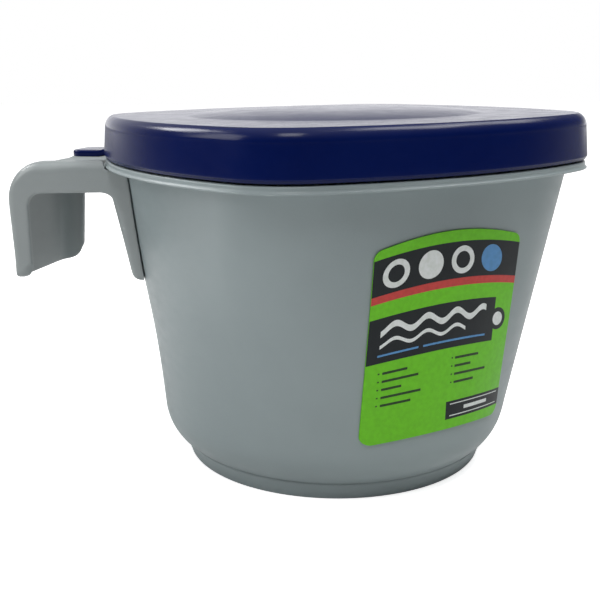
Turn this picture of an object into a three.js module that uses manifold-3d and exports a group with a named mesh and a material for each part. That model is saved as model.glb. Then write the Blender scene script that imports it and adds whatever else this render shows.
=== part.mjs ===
// Lidded paint container with a hook handle, as four plastic pieces: tub, lid, handle and label.
//
// Millimetres, +Z up. The tub has a round foot and a rounded-square mouth whose corners point along
// X and Y. The handle hangs on the corner that points to -X, and the label is on the side between
// -Y and +X. The origin is under the middle of the whole container, on the surface it stands on.

import * as THREE from 'three';
import { mergeVertices } from 'three/addons/utils/BufferGeometryUtils.js';
import Module from 'manifold-3d';

const wasm = await Module();
wasm.setup();

// Outlines. A rounded square is given by its reach to a corner, the radius of the arc that rounds
// the corner, and how far the middle of a side bulges out from a straight line between two corners.
const rim = { corner: 77.15, arc: 26.0, bulge: 6.18 };
const ledge = 5.9;              // flange edge in to the wall, at a corner
const wallTopArc = 28.5;
const wallTopBulge = 0.72;      // nearly straight sides at the top
const wallFootArc = 40.0;       // the wall starts as a circle, and its corners grow from this arc

// Tub heights and walls
const lipZ = 93.0;              // lower edge of the flange
const wallThickness = 1.4;
const floorThickness = 1.9;
const footRadius = 48.65;       // foot ring on the ground
const footHeight = 5.7;         // foot ring, up to the crease
const footFlare = 1.8;          // how much it widens up to the crease
const baseFlare = 5.95;         // base fillet, from the crease out to the wall
const baseRise = 10.8;          // and up to it
const footRingWidth = 2.3;
const footRecess = 3.4;         // space under the floor, inside the foot ring
const footEdge = 0.4;           // rounded edges of the foot ring
const baseFilletLeg = 13.0;     // inner fillet between floor and wall

// Flange and neck
const flangeEdge = 2.25;        // height of the flange's edge
const flangePlate = 1.5;
const flangeLip = 1.6;          // down-turned lip, inwards from the edge
const flangeRound = 0.7;
const neckInset = 3.0;          // flange edge in to the neck
const neckThickness = 1.6;
const neckHeight = 11.6;        // above the flange
const neckEdge = 0.4;
const snapBead = 0.8;           // bead round the neck that the lid snaps over
const snapBeadDrop = 3.4;       // neck's top edge down to the middle of the bead
const snapBeadHeight = 2.0;

// Lid
const lidSeat = 0.85;           // flange top to the skirt's lower edge
const skirtInset = 0.1;         // flange edge in to the skirt's lower edge
const skirtArcTrim = 0.6;       // the skirt's corners are a little tighter than the flange's
const skirtHeight = 13.0;       // lower edge up to the crease where the top starts
const skirtDraft = 0.8;         // how much the skirt leans in up to the shoulder
const skirtThickness = 1.3;
const skirtEdge = 0.5;          // rounding of the lower edge
const shoulderRadius = 3.9;
const shoulderSweep = 68;       // degrees of the shoulder's arc, up to the crease
const crownRise = 0.5;          // crease up to the foot of the raised round
const lidPlate = 1.4;
const bossRise = 1.3;           // raised round in the middle, nests in the foot of a stacked tub
const bossFoot = 46.0;
const bossFlat = 0.4;           // share of its radius that is flat
const bossPower = 4;            // steep at its foot
const plugThickness = 1.2;      // ring that seals inside the neck
const plugDepth = 5.5;
const lidClearance = 0.3;       // between the lid and the neck, all round
const catchFlat = 0.8;          // catch inside the skirt: height of its face
const catchFlank = 0.8;         // and of its slopes
const tabHalfWidth = 7.5;
const tabReach = 11.2;          // rim corner out to the tab's tip
const tabThickness = 2.15;
const tabLift = -0.1;           // tab's underside above the flange's top
const tabRoot = 1.2;            // height of the step where the tab leaves the skirt
const tabCornerRadius = 2.3;

// Handle
const handleHalfWidth = 20.4;
const handleEdge = 1.4;         // rounding of the channel's edges
const handleGap = 0.3;          // running gap between the handle and the tub
const flangeThickness = 2.0;    // the channel's two side flanges
const webThickness = 1.8;
const gripReach = 29.05;        // rim corner out to the grip's outer face
const gripDepth = 7.2;          // the channel's depth along the grip
const gripDrop = 36.9;          // flange's lower edge down to the grip's end
const gripTipRadius = 2.0;       // grip's end, at the outer face
const gripTipFlare = 5.0;        // and at the flanges' edges
const gripCornerRadius = 5.5;   // lower corners, seen along X
const elbowRadius = 13.0;       // outer corner from arm to grip
const elbowInnerRadius = 5.0;
const armTop = 1.85;            // arm's top edge above the flange's lower edge, at the elbow
const armTopRise = 0.048;       // and its rise per millimetre towards the tub
const armDepth = 10.35;         // the channel's depth along the arm, at the elbow
const armUnderRise = 0.033;
const dishDrop = 0.3;           // flange's lower edge down to the dished middle of the arm
const dishHalfWidth = 12.5;     // flat of the dish
const dishFlank = 3.0;          // and its sloped sides
const dishRunOut = 30.0;        // radius by which the dish fades out at the elbow
const crookRadius = 5.0;        // inner corner from arm to leg
const crookStart = 2.6;         // the leg's front face starts this far inside the wall's corner
const crookFall = 1.1;          // the crook reaches down this many radii
const crookLean = 0.2;          // and back this many
const legThickness = 3.8;
const legDrop = 36.0;           // flange's lower edge down to the leg's end
const legEndRound = 2.5;
const pocketCorner = 5.0;       // fillets inside the channel, between web and flanges
const channelRoot = 12.0;       // the channel runs this far past the wall's corner, to be cut by it

// Dovetail rail on the wall that the leg slides on
const railHalfWidth = 8.0;
const railUndercut = 1.5;
const railDepth = 2.2;
const railRoot = 1.0;           // sunk into the wall
const railTopDrop = 5.0;        // flange's lower edge down to the rail's top
const railLength = 28.0;

// Label, wrapped on the side between -Y and +X
const labelHalfWidth = 26.2;
const labelShift = 1.0;         // towards +X from the middle of the side
const labelTop = 13.0;          // flange's lower edge down to the label's top
const labelHeight = 61.0;
const labelCorner = 2.5;
const labelThickness = 0.3;
const labelGap = 0.2;           // adhesive

// Faceting
const segments = 72;            // round every outline
const cornerCrowding = 0.35;    // share by which the steps shorten at the corners
const labelColumns = 14;
const labelRows = 14;

// Heights and radii that follow
const creaseRadius = footRadius + footFlare;
const wallFootRadius = creaseRadius + baseFlare;
const wallFootZ = footHeight + baseRise;
const flangeTop = lipZ + flangeEdge;
const neckTop = flangeTop + neckHeight;
const floorTop = footRecess + floorThickness;
const skirtZ = flangeTop + lidSeat;
const creaseZ = skirtZ + skirtHeight;
const lidTop = creaseZ + crownRise;

const inset = (o, d) => ({ ...o, corner: o.corner - d, arc: o.arc - d });
const circle = (r, arc = r / 2) => ({ corner: r, arc, bulge: (r - arc) * (1 - Math.SQRT1_2) });
const mix = (a, b, k) => ({
  corner: THREE.MathUtils.lerp(a.corner, b.corner, k),
  arc: THREE.MathUtils.lerp(a.arc, b.arc, k),
  bulge: THREE.MathUtils.lerp(a.bulge, b.bulge, k),
});

const wallTop = { corner: rim.corner - ledge, arc: wallTopArc, bulge: wallTopBulge };
const wallFoot = circle(wallFootRadius, wallFootArc);
const wallAt = (z) => mix(wallFoot, wallTop, (z - wallFootZ) / (lipZ - wallFootZ));
const wallHeights = [0.2, 0.4, 0.6, 0.8].map((k) => THREE.MathUtils.lerp(wallFootZ, lipZ, k));
const skirt = { ...inset(rim, skirtInset), arc: rim.arc - skirtInset - skirtArcTrim };

// Distance from the axis to a rounded square's outline at a polar angle. The corner arc's centre
// lies on the corner's axis. The side arc's centre lies behind the origin, on the side's own axis,
// at the distance that makes the two arcs tangent.
function reach(outline, angle) {
  const c = outline.corner - outline.arc;
  const d = c * Math.SQRT1_2 + outline.bulge;
  const quarter = Math.PI / 2;
  const fromCorner = Math.abs(THREE.MathUtils.euclideanModulo(angle + quarter / 2, quarter) - quarter / 2);
  const fromSide = quarter / 2 - fromCorner;
  const back = (c * c - d * d) / (2 * outline.bulge);
  const sideRadius = outline.arc + d + back;
  const toArc = new THREE.Vector2(c * Math.SQRT1_2 + back, c * Math.SQRT1_2).setLength(sideRadius);
  const tangentAngle = Math.atan2(toArc.y, toArc.x - back);
  if (fromSide > tangentAngle) {
    return c * Math.cos(fromCorner) + Math.sqrt(outline.arc ** 2 - (c * Math.sin(fromCorner)) ** 2);
  }
  return -back * Math.cos(fromSide) + Math.sqrt(sideRadius ** 2 - (back * Math.sin(fromSide)) ** 2);
}

// A station of a loft gives the radius and the height at every angle.
const at = (outline, z) => (angle) => [reach(outline, angle), z];
const pole = (z) => () => [0, z];

// Stations along a rounded edge: an arc about a point that lies inset from the outline.
function roundEdge(outline, centreInset, centreZ, radius, fromDeg, toDeg, steps) {
  return Array.from({ length: steps + 1 }, (_, i) => {
    const turn = THREE.MathUtils.degToRad(fromDeg + ((toDeg - fromDeg) * i) / steps);
    return at(inset(outline, centreInset - radius * Math.cos(turn)), centreZ + radius * Math.sin(turn));
  });
}

// The angles round every outline, closer together at the corners.
const ringAngles = Array.from({ length: segments }, (_, i) => {
  const even = (i / segments) * 2 * Math.PI;
  return even - (cornerCrowding / 4) * Math.sin(4 * even);
});

// Closed body through stations from one pole to the other. The stations run outwards along the
// underside, up the outside and back along the top or the inside.
function loft(stations) {
  const points = [];
  stations.forEach((station, row) => {
    const isPole = row === 0 || row === stations.length - 1;
    (isPole ? [0] : ringAngles).forEach((angle) => {
      const [r, z] = station(angle);
      points.push(r * Math.cos(angle), r * Math.sin(angle), z);
    });
  });
  const last = points.length / 3 - 1;
  const vertex = (row, i) => 1 + (row - 1) * segments + (i % segments);
  const faces = [];
  for (let i = 0; i < segments; i += 1) {
    faces.push(0, vertex(1, i + 1), vertex(1, i));
    for (let row = 1; row < stations.length - 2; row += 1) {
      faces.push(vertex(row, i), vertex(row, i + 1), vertex(row + 1, i + 1));
      faces.push(vertex(row, i), vertex(row + 1, i + 1), vertex(row + 1, i));
    }
    faces.push(last, vertex(stations.length - 2, i), vertex(stations.length - 2, i + 1));
  }
  return bufferGeometry(points, faces);
}

function bufferGeometry(points, faces) {
  const geometry = new THREE.BufferGeometry();
  geometry.setAttribute('position', new THREE.Float32BufferAttribute(points, 3));
  geometry.setIndex(faces);
  geometry.computeVertexNormals();
  return geometry;
}

function solid(geometry) {
  const bare = geometry.clone();
  bare.deleteAttribute('normal');
  bare.deleteAttribute('uv');
  const merged = mergeVertices(bare, 1e-4);
  return new wasm.Manifold(new wasm.Mesh({
    numProp: 3,
    vertProperties: new Float32Array(merged.attributes.position.array),
    triVerts: new Uint32Array(merged.index.array),
  }));
}

function geometryOf(body) {
  const mesh = body.getMesh();
  return bufferGeometry(Array.from(mesh.vertProperties), Array.from(mesh.triVerts));
}

function piece(name, geometry, material) {
  const mesh = new THREE.Mesh(geometry, new THREE.MeshStandardMaterial(material));
  mesh.name = name;
  return mesh;
}

// Prism of a side-view shape (its x and y are X and Z), centred on the X-Z plane, edges rounded.
function acrossY(shape, halfWidth, edge, curveSegments = 5) {
  const geometry = new THREE.ExtrudeGeometry(shape, {
    depth: 2 * (halfWidth - edge),
    bevelEnabled: edge > 0,
    bevelThickness: edge,
    bevelSize: edge,
    bevelOffset: -edge,
    bevelSegments: 3,
    curveSegments,
  });
  return geometry.rotateX(Math.PI / 2).translate(0, halfWidth - edge, 0);
}

// Prism of a plan or front-view shape along Z or X.
const alongZ = (shape, z, height, curveSegments = 6) =>
  new THREE.ExtrudeGeometry(shape, { depth: height, bevelEnabled: false, curveSegments }).translate(0, 0, z);

// Tub

// Outer base fillet: at every angle an arc from the foot's crease to the wall, tangent to the wall.
function baseFillet(share) {
  return (angle) => {
    const slope = reach(wallAt(wallFootZ + 1), angle) - reach(wallAt(wallFootZ), angle);
    const start = new THREE.Vector2(creaseRadius, footHeight);
    const end = new THREE.Vector2(wallFootRadius, wallFootZ);
    const inward = new THREE.Vector2(-1, slope).normalize();
    const chord = start.clone().sub(end);
    const radius = chord.lengthSq() / (2 * inward.dot(chord));
    const centre = end.clone().addScaledVector(inward, radius);
    const from = start.clone().sub(centre).angle();
    const to = end.clone().sub(centre).angle();
    const turn = from + (to < from ? to + 2 * Math.PI - from : to - from) * share;
    return [centre.x + radius * Math.cos(turn), centre.y + radius * Math.sin(turn)];
  };
}

// Inner base fillet: a curve from the floor to the inside of the wall, tangent to both.
function innerFillet(share) {
  return (angle) => {
    const z = floorTop + baseFilletLeg;
    const wallR = reach(inset(wallAt(z), wallThickness), angle);
    const slope = reach(wallAt(z + 1), angle) - reach(wallAt(z), angle);
    const cornerR = wallR - slope * baseFilletLeg;
    const a = (1 - share) ** 2;
    const b = 2 * share * (1 - share);
    const c = share ** 2;
    return [a * wallR + b * cornerR + c * (cornerR - baseFilletLeg), a * z + (b + c) * floorTop];
  };
}

function makeTub() {
  const innerFootZ = floorTop + baseFilletLeg;
  const innerHeights = [0.8, 0.6, 0.4, 0.2].map((k) => THREE.MathUtils.lerp(innerFootZ, lipZ, k));
  const ringInner = footRadius - footRingWidth;
  const neckOuter = inset(rim, neckInset);
  const neckInner = inset(neckOuter, neckThickness);
  const beadZ = neckTop - snapBeadDrop;
  const plateUnder = flangeTop - flangePlate;
  const stations = [
    pole(footRecess),
    at(circle(ringInner - 1), footRecess),
    at(circle(ringInner), footRecess - 1),
    at(circle(ringInner), footEdge),
    at(circle(ringInner + footEdge), 0),
    at(circle(footRadius - footEdge), 0),
    at(circle(footRadius), footEdge),
    ...[0, 0.2, 0.4, 0.6, 0.8].map(baseFillet),
    at(wallFoot, wallFootZ),
    ...wallHeights.map((z) => at(wallAt(z), z)),
    at(wallAt(plateUnder), plateUnder),
    at(inset(rim, flangeLip), plateUnder),
    at(inset(rim, flangeLip), lipZ),
    at(inset(rim, flangeRound / 2), lipZ),
    at(rim, lipZ + flangeRound / 2),
    ...roundEdge(rim, flangeRound, flangeTop - flangeRound, flangeRound, 0, 90, 3),
    at(neckOuter, flangeTop),
    at(neckOuter, beadZ - snapBeadHeight / 2),
    at(inset(neckOuter, -snapBead), beadZ - snapBeadHeight / 8),
    at(inset(neckOuter, -snapBead), beadZ + snapBeadHeight / 8),
    at(neckOuter, beadZ + snapBeadHeight / 2),
    at(neckOuter, neckTop - neckEdge),
    at(inset(neckOuter, neckEdge), neckTop),
    at(inset(neckInner, -neckEdge), neckTop),
    at(neckInner, neckTop - neckEdge),
    at(neckInner, flangeTop + neckEdge),
    at(inset(neckInner, neckEdge), flangeTop),
    at(inset(wallAt(flangeTop), wallThickness - neckEdge), flangeTop),
    at(inset(wallAt(lipZ), wallThickness), flangeTop - 2 * neckEdge),
    ...innerHeights.map((z) => at(inset(wallAt(z), wallThickness), z)),
    ...[0, 0.2, 0.4, 0.6, 0.8, 1].map(innerFillet),
    pole(floorTop),
  ];
  return solid(loft(stations)).add(rail(0));
}

// The dovetail rail leans with the corner of the wall. A clearance makes the groove that fits it.
function rail(clearance) {
  const topZ = lipZ - railTopDrop;
  const footZ = topZ - railLength - clearance;
  const slope = (wallTop.corner - wallFoot.corner) / (lipZ - wallFootZ);
  const height = clearance > 0 ? lipZ - footZ : railLength;
  const section = new THREE.Shape();
  section.moveTo(railRoot, -(railHalfWidth - railUndercut + clearance));
  section.lineTo(railRoot, railHalfWidth - railUndercut + clearance);
  section.lineTo(-railDepth - clearance, railHalfWidth + clearance);
  section.lineTo(-railDepth - clearance, -(railHalfWidth + clearance));
  section.closePath();
  const lean = new THREE.Matrix4().makeShear(0, 0, 0, 0, -slope, 0);
  const bar = new THREE.ExtrudeGeometry(section, { depth: height, bevelEnabled: false });
  bar.applyMatrix4(lean).translate(-wallAt(footZ).corner, 0, footZ);
  return solid(bar);
}

// Lid

function makeLid() {
  const plateUnder = creaseZ - lidPlate;
  const shoulderZ = creaseZ - shoulderRadius * Math.sin(THREE.MathUtils.degToRad(shoulderSweep));
  const shoulder = inset(skirt, skirtDraft + shoulderRadius);
  const shoulderIn = shoulderRadius - skirtThickness;
  const hollowTurn = THREE.MathUtils.radToDeg(Math.asin(Math.min((plateUnder - shoulderZ) / shoulderIn, 1)));
  const plugOuter = inset(rim, neckInset + neckThickness + lidClearance);
  const plugInner = inset(plugOuter, plugThickness);
  const plugZ = plateUnder - plugDepth;
  const skirtInner = inset(skirt, skirtThickness + skirtInset);
  const catchOuter = inset(rim, neckInset - snapBead - lidClearance);
  const catchZ = neckTop - snapBeadDrop - snapBeadHeight;
  const boss = (trim, z) => [1, 0.9, 0.77, 0.6, 0.3, 0].map((k) =>
    at(circle(bossFoot * THREE.MathUtils.lerp(bossFlat, 1, k) - trim), z + bossRise * (1 - k ** bossPower)));
  const stations = [
    pole(plateUnder + bossRise),
    ...boss(lidPlate / 2, plateUnder).reverse(),
    at(plugInner, plateUnder),
    at(plugInner, plugZ),
    at(inset(plugOuter, plugThickness / 3), plugZ),
    at(plugOuter, plugZ + plugThickness),
    at(plugOuter, plateUnder),
    ...roundEdge(shoulder, 0, shoulderZ, shoulderIn, hollowTurn, 0, 3),
    at(skirtInner, catchZ + catchFlat / 2 + catchFlank),
    at(catchOuter, catchZ + catchFlat / 2),
    at(catchOuter, catchZ - catchFlat / 2),
    at(skirtInner, catchZ - catchFlat / 2 - catchFlank),
    at(skirtInner, skirtZ),
    at(inset(skirt, skirtEdge), skirtZ),
    at(skirt, skirtZ + skirtEdge),
    ...roundEdge(shoulder, 0, shoulderZ, shoulderRadius, 0, shoulderSweep, 5),
    ...boss(0, lidTop),
    pole(lidTop + bossRise),
  ];
  return solid(loft(stations)).add(thumbTab());
}

// The tab leaves the skirt at the handle's corner, clears the flange's edge and hangs beside it.
function thumbTab() {
  const tipX = -(rim.corner + tabReach);
  const underZ = flangeTop + tabLift;
  const topZ = underZ + tabThickness;
  const rootX = -(skirt.corner - skirtThickness);
  const edgeX = -(rim.corner + lidClearance);
  const tipRound = tabThickness * 0.4;
  const side = new THREE.Shape();
  side.moveTo(rootX, skirtZ);
  side.lineTo(rootX, topZ + tabRoot);
  side.quadraticCurveTo(edgeX - tabRoot, topZ + tabRoot / 4, edgeX - 3 * tabRoot, topZ);
  side.lineTo(tipX + tipRound, topZ);
  side.quadraticCurveTo(tipX, topZ, tipX, topZ - tipRound);
  side.quadraticCurveTo(tipX, underZ, tipX + 2 * tipRound, underZ);
  side.lineTo(edgeX - lidClearance, underZ);
  side.lineTo(edgeX, skirtZ);
  side.closePath();
  const plan = new THREE.Shape();
  plan.moveTo(rootX, -tabHalfWidth);
  plan.lineTo(rootX, tabHalfWidth);
  plan.lineTo(tipX + tabCornerRadius, tabHalfWidth);
  plan.absarc(tipX + tabCornerRadius, tabHalfWidth - tabCornerRadius, tabCornerRadius, Math.PI / 2, Math.PI, false);
  plan.absarc(tipX + tabCornerRadius, tabCornerRadius - tabHalfWidth, tabCornerRadius, Math.PI, 1.5 * Math.PI, false);
  plan.closePath();
  const bar = solid(acrossY(side, tabHalfWidth + 1, 0));
  return bar.intersect(solid(alongZ(plan, underZ - 1, tabThickness + tabRoot + 2, 4)));
}

// Handle

// Everything that the handle stays clear of: the wall, the flange and the lid above it.
function keepOut() {
  const underZ = lipZ - handleGap;
  return solid(loft([
    pole(wallFootZ),
    ...[wallFootZ, ...wallHeights, underZ].map((z) => at(inset(wallAt(z), -handleGap), z)),
    at(inset(rim, -handleGap), underZ),
    at(inset(rim, -handleGap), lidTop),
    pole(lidTop),
  ]));
}

// Side view of the channel: arm out from the wall, round the elbow and down the grip.
function channelShape() {
  const faceX = -(rim.corner + gripReach);
  const innerX = faceX + gripDepth;
  const endZ = lipZ - gripDrop;
  const rootX = channelRoot - wallTop.corner;
  const elbowX = faceX + elbowRadius;
  const topZ = lipZ + armTop;
  const underX = innerX + elbowInnerRadius;
  const underZ = topZ - armDepth;
  const crookX = -(wallAt(underZ).corner - crookStart);
  const crookZ = underZ + (crookX - crookRadius - underX) * armUnderRise;
  const shape = new THREE.Shape();
  shape.moveTo(rootX, topZ + (rootX - elbowX) * armTopRise);
  shape.lineTo(elbowX, topZ);
  shape.absarc(elbowX, topZ - elbowRadius, elbowRadius, Math.PI / 2, Math.PI, false);
  shape.lineTo(faceX, endZ + gripTipRadius);
  shape.absarc(faceX + gripTipRadius, endZ + gripTipRadius, gripTipRadius, Math.PI, 1.5 * Math.PI, false);
  shape.lineTo(innerX - gripTipFlare, endZ);
  shape.absarc(innerX - gripTipFlare, endZ + gripTipFlare, gripTipFlare, 1.5 * Math.PI, 2 * Math.PI, false);
  shape.lineTo(innerX, underZ - elbowInnerRadius);
  shape.absarc(underX, underZ - elbowInnerRadius, elbowInnerRadius, Math.PI, Math.PI / 2, true);
  shape.lineTo(crookX - crookRadius, crookZ);
  const crookEndZ = crookZ - crookFall * crookRadius;
  shape.quadraticCurveTo(crookX, crookZ, crookX + crookLean * crookRadius, crookEndZ);
  shape.lineTo(rootX, crookEndZ);
  shape.closePath();
  return shape;
}

// What the channel is hollowed by, between its flanges and under its web.
function pocketShape() {
  const faceX = -(rim.corner + gripReach);
  const webX = faceX + webThickness;
  const webZ = lipZ - dishDrop - webThickness;
  const radius = elbowRadius - 2 * webThickness;
  const lowZ = lipZ - gripDrop - 2 * pocketCorner;
  const shape = new THREE.Shape();
  shape.moveTo(pocketCorner, lowZ);
  shape.lineTo(pocketCorner, webZ);
  shape.lineTo(webX + radius, webZ);
  shape.absarc(webX + radius, webZ - radius, radius, Math.PI / 2, Math.PI, false);
  shape.lineTo(webX, lowZ);
  shape.closePath();
  return shape;
}

// Dish along the top of the arm. Its floor is level, and lifts in an arc to fade out at the elbow.
function dishShape() {
  const endX = -(rim.corner + gripReach) + elbowRadius;
  const floorZ = lipZ - dishDrop;
  const sweep = 0.5;
  const shape = new THREE.Shape();
  shape.moveTo(0, floorZ);
  shape.lineTo(0, floorZ + 2 * elbowRadius);
  shape.lineTo(endX - dishRunOut, floorZ + 2 * elbowRadius);
  shape.lineTo(endX - dishRunOut * Math.sin(sweep), floorZ + dishRunOut * (1 - Math.cos(sweep)));
  shape.absarc(endX, floorZ + dishRunOut, dishRunOut, 1.5 * Math.PI - sweep, 1.5 * Math.PI, false);
  shape.closePath();
  return shape;
}

// The leg is a saddle plate that follows the corner of the wall.
function makeLeg() {
  const endZ = lipZ - legDrop;
  const topZ = lipZ - handleGap;
  const skin = (z, share) => at(inset(wallAt(z), -(handleGap + legThickness * share)), z);
  const plate = solid(loft([
    pole(endZ),
    skin(endZ, 0.55),
    skin(endZ + legEndRound * 0.3, 0.85),
    skin(endZ + legEndRound, 1),
    skin((endZ + topZ) / 2, 1),
    skin(topZ, 1),
    pole(topZ),
  ]));
  const front = new THREE.Shape();
  front.moveTo(-handleHalfWidth, topZ + 1);
  front.lineTo(-handleHalfWidth, endZ + legEndRound);
  front.absarc(legEndRound - handleHalfWidth, endZ + legEndRound, legEndRound, Math.PI, 1.5 * Math.PI, false);
  front.absarc(handleHalfWidth - legEndRound, endZ + legEndRound, legEndRound, 1.5 * Math.PI, 2 * Math.PI, false);
  front.lineTo(handleHalfWidth, topZ + 1);
  front.closePath();
  return plate.intersect(solid(alongX(front, -(rim.corner + gripReach), 0, 4)));
}

// Prism of a front-view shape (its x and y are Y and Z) from one X to another.
function alongX(shape, fromX, toX, curveSegments) {
  const geometry = new THREE.ExtrudeGeometry(shape, { depth: toX - fromX, bevelEnabled: false, curveSegments });
  const turn = new THREE.Matrix4().set(0, 0, 1, fromX, 1, 0, 0, 0, 0, 1, 0, 0, 0, 0, 0, 1);
  return geometry.applyMatrix4(turn);
}

function makeHandle() {
  const endZ = lipZ - gripDrop;
  const radius = gripCornerRadius;
  const front = new THREE.Shape();
  front.moveTo(-handleHalfWidth - 1, lidTop);
  front.lineTo(-handleHalfWidth - 1, endZ + radius);
  front.lineTo(-handleHalfWidth, endZ + radius);
  front.absarc(radius - handleHalfWidth, endZ + radius, radius, Math.PI, 1.5 * Math.PI, false);
  front.absarc(handleHalfWidth - radius, endZ + radius, radius, 1.5 * Math.PI, 2 * Math.PI, false);
  front.lineTo(handleHalfWidth + 1, endZ + radius);
  front.lineTo(handleHalfWidth + 1, lidTop);
  front.closePath();
  const channel = solid(acrossY(channelShape(), handleHalfWidth, handleEdge))
    .intersect(solid(alongX(front, -(rim.corner + 2 * gripReach), 0, 4)))
    .subtract(solid(acrossY(pocketShape(), handleHalfWidth - flangeThickness, pocketCorner, 3)));
  return channel
    .add(makeLeg())
    .subtract(solid(acrossY(dishShape(), dishHalfWidth + dishFlank, dishFlank, 4)))
    .subtract(keepOut())
    .subtract(rail(handleGap));
}

// Label

// Point on the label's sheet: sideways position, height and distance out from the wall. The angle
// at which the wall lies that far sideways is found by repeated substitution.
function labelPoint(sideways, z, out) {
  const outline = inset(wallAt(z), -out);
  const middle = -Math.PI / 4;
  let angle = middle;
  for (let i = 0; i < 12; i += 1) {
    angle = middle + Math.asin(sideways / reach(outline, angle));
  }
  const r = reach(outline, angle);
  return [r * Math.cos(angle), r * Math.sin(angle), z];
}

// Half width of the sheet at a distance from its upper or lower edge, with rounded corners.
function labelWidthAt(fromEdge) {
  const short = Math.max(labelCorner - fromEdge, 0);
  return labelHalfWidth - labelCorner + Math.sqrt(labelCorner ** 2 - short ** 2);
}

function makeLabel() {
  const topZ = lipZ - labelTop;
  const cornerSteps = [0, 0.1, 0.35, 1].map((k) => k * labelCorner);
  const middle = Array.from({ length: labelRows - 1 }, (_, i) =>
    THREE.MathUtils.lerp(labelCorner, labelHeight - labelCorner, (i + 1) / labelRows));
  const drops = [...cornerSteps, ...middle, ...cornerSteps.map((d) => labelHeight - d).reverse()];
  const points = [];
  for (const out of [labelGap + labelThickness, labelGap]) {
    for (const drop of drops) {
      const half = labelWidthAt(Math.min(drop, labelHeight - drop));
      for (let i = 0; i <= labelColumns; i += 1) {
        points.push(...labelPoint(labelShift + half * ((2 * i) / labelColumns - 1), topZ - drop, out));
      }
    }
  }
  const columns = labelColumns + 1;
  const sheet = drops.length * columns;
  const faces = [];
  const quad = (a, b, c, d) => faces.push(a, b, c, a, c, d);
  for (let row = 0; row < drops.length - 1; row += 1) {
    for (let i = 0; i < labelColumns; i += 1) {
      const a = row * columns + i;
      quad(a, a + columns, a + columns + 1, a + 1);
      quad(sheet + a, sheet + a + 1, sheet + a + columns + 1, sheet + a + columns);
    }
    const left = row * columns;
    const right = left + labelColumns;
    quad(left, sheet + left, sheet + left + columns, left + columns);
    quad(right, right + columns, sheet + right + columns, sheet + right);
  }
  const foot = (drops.length - 1) * columns;
  for (let i = 0; i < labelColumns; i += 1) {
    quad(i, i + 1, sheet + i + 1, sheet + i);
    quad(foot + i, sheet + foot + i, sheet + foot + i + 1, foot + i + 1);
  }
  return bufferGeometry(points, faces);
}

const greyPlastic = { color: 0xa3aaa8, roughness: 0.5, metalness: 0.0 };
const container = new THREE.Group();
container.add(piece('tub', geometryOf(makeTub()), greyPlastic));
container.add(piece('lid', geometryOf(makeLid()), { color: 0x1b2f5e, roughness: 0.4, metalness: 0.0 }));
container.add(piece('handle', geometryOf(makeHandle()), greyPlastic));
container.add(piece('label', makeLabel(), { color: 0x5fae32, roughness: 0.35, metalness: 0.0 }));

// The handle reaches further out than the opposite corner, so the tub stands off the middle.
container.position.x = gripReach / 2;

const paintContainer = new THREE.Group();
paintContainer.add(container);

export default paintContainer;
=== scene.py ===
import math

import bpy
import numpy as np
from mathutils import Matrix, Vector


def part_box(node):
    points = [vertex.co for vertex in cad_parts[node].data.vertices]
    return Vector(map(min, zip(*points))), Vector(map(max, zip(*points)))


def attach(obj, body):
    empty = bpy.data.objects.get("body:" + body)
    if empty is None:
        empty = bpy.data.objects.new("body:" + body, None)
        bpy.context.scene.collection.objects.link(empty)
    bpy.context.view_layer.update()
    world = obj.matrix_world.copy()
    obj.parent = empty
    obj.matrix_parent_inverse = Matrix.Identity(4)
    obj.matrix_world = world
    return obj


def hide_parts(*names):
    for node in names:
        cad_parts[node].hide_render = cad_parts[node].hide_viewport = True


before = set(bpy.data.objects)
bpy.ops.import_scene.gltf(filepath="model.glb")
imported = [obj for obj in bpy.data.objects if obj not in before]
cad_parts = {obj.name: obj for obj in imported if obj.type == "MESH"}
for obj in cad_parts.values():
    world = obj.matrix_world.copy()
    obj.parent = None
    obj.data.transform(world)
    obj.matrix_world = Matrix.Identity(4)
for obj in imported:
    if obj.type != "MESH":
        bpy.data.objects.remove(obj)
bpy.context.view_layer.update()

mm = 0.001  # sizes below are millimetres, meshes are metres
print("frame loaded")

# Places that the frame gives: the tub's axis and the reach of its rim and of the grip from there
tubLow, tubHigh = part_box("tub")
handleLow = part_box("handle")[0]
axisX = (tubLow.x + tubHigh.x) / 2 / mm
rimCorner = (tubHigh.x - tubLow.x) / 2 / mm
gripFaceX = axisX - handleLow.x / mm
diagonal = math.sqrt(0.5)  # cosine of 45 degrees, half of the way from corner to corner


# Outline of a rounded square with corners on X and Y, as the radius at each angle. The corner arc's
# centre is at corner - arc on the corner's axis. The side bulges out from the straight line
# between two corner arcs, and its own centre lies behind the origin so that both arcs are tangent.
def reach(outline, angle):
    corner, arc, bulge = outline
    c = corner - arc
    d = c * diagonal + bulge
    fromCorner = np.abs((angle + math.pi / 4) % (math.pi / 2) - math.pi / 4)
    fromSide = math.pi / 4 - fromCorner
    back = (c * c - d * d) / (2 * bulge)
    sideRadius = arc + d + back
    length = np.hypot(c * diagonal + back, c * diagonal)
    tangentX = (c * diagonal + back) / length * sideRadius - back
    tangentY = c * diagonal / length * sideRadius
    arcRest = np.maximum(arc ** 2 - (c * np.sin(fromCorner)) ** 2, 0)
    onArc = c * np.cos(fromCorner) + np.sqrt(arcRest)
    onSide = -back * np.cos(fromSide) + np.sqrt(sideRadius ** 2 - (back * np.sin(fromSide)) ** 2)
    return np.where(fromSide > np.arctan2(tangentY, tangentX), onArc, onSide)


# The same outline a distance further in
def inset(outline, d):
    return outline[0] - d, outline[1] - d, outline[2]


# A circle as such an outline: the bulge that makes corner and side arcs one
def circle(r, arc=None):
    arc = r / 2 if arc is None else arc
    return r, arc, (r - arc) * (1 - diagonal)


# Outline a share of the way from one to another
def mix(a, b, k):
    return tuple(p + (q - p) * k for p, q in zip(a, b))


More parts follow.
